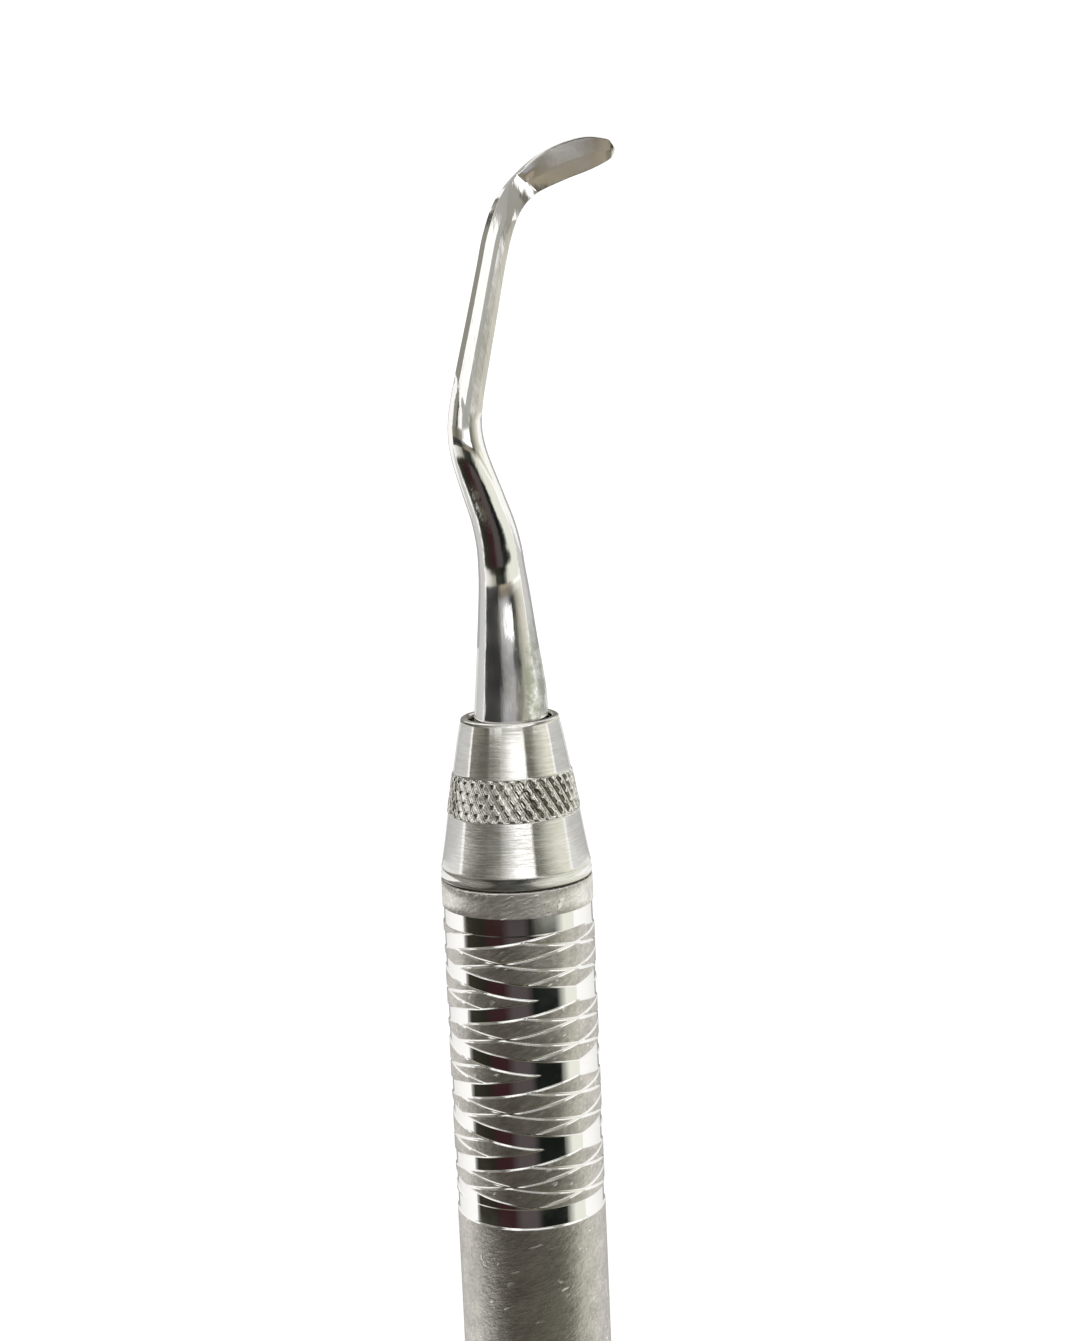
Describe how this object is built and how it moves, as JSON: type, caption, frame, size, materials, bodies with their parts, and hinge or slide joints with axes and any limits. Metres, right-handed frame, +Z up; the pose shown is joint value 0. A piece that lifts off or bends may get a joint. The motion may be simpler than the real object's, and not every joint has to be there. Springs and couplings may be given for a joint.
{
  "type": "double-ended hand scaler",
  "caption": "Slim steel dental hand instrument: round textured handle with a knurled screw-in cone, curved shank and flat rounded blade at each end.",
  "frame": {"origin": "underside of the handle at its middle, where the instrument lies on a table", "axes": "+X along the handle towards the front tip, +Y away from the front blade's hook, +Z up"},
  "size_m": [0.178, 0.0156, 0.0095],
  "materials": {
    "handle_steel": "bead-blasted, with polished cuts in the grip",
    "insert_steel": "bead-blasted",
    "cone_steel": "satin turned",
    "tip_steel": "mirror polished stainless steel",
    "seal_rubber": "matt black"
  },
  "bodies": {
    "handle": {"handle_tube": "handle_steel", "front_insert": "insert_steel", "rear_insert": "insert_steel"},
    "front_carrier": {"front_seal": "seal_rubber"},
    "front_working_end": {"front_cone": "cone_steel", "front_tip": "tip_steel"},
    "rear_carrier": {"rear_seal": "seal_rubber"},
    "rear_working_end": {"rear_cone": "cone_steel", "rear_tip": "tip_steel"}
  },
  "joints": [
    {"name": "front_travel", "type": "slide", "parent": "handle", "child": "front_carrier", "axis": [1, 0, 0], "range_m": [0, 0.0052]},
    {"name": "front_unscrew", "type": "hinge", "parent": "front_carrier", "child": "front_working_end", "pos_m": [0.04422, 0, 0.00473], "axis": [1, 0, 0], "range_deg": [0, 2350]},
    {"name": "rear_travel", "type": "slide", "parent": "handle", "child": "rear_carrier", "axis": [-1, 0, 0], "range_m": [0, 0.0052]},
    {"name": "rear_unscrew", "type": "hinge", "parent": "rear_carrier", "child": "rear_working_end", "pos_m": [-0.04422, 0, 0.00473], "axis": [-1, 0, 0], "range_deg": [0, 2350]}
  ],
  "couplings": [
    {"joint": "front_unscrew", "follows": "front_travel", "rad_per_m": 7854},
    {"joint": "rear_unscrew", "follows": "rear_travel", "rad_per_m": 7854}
  ]
}
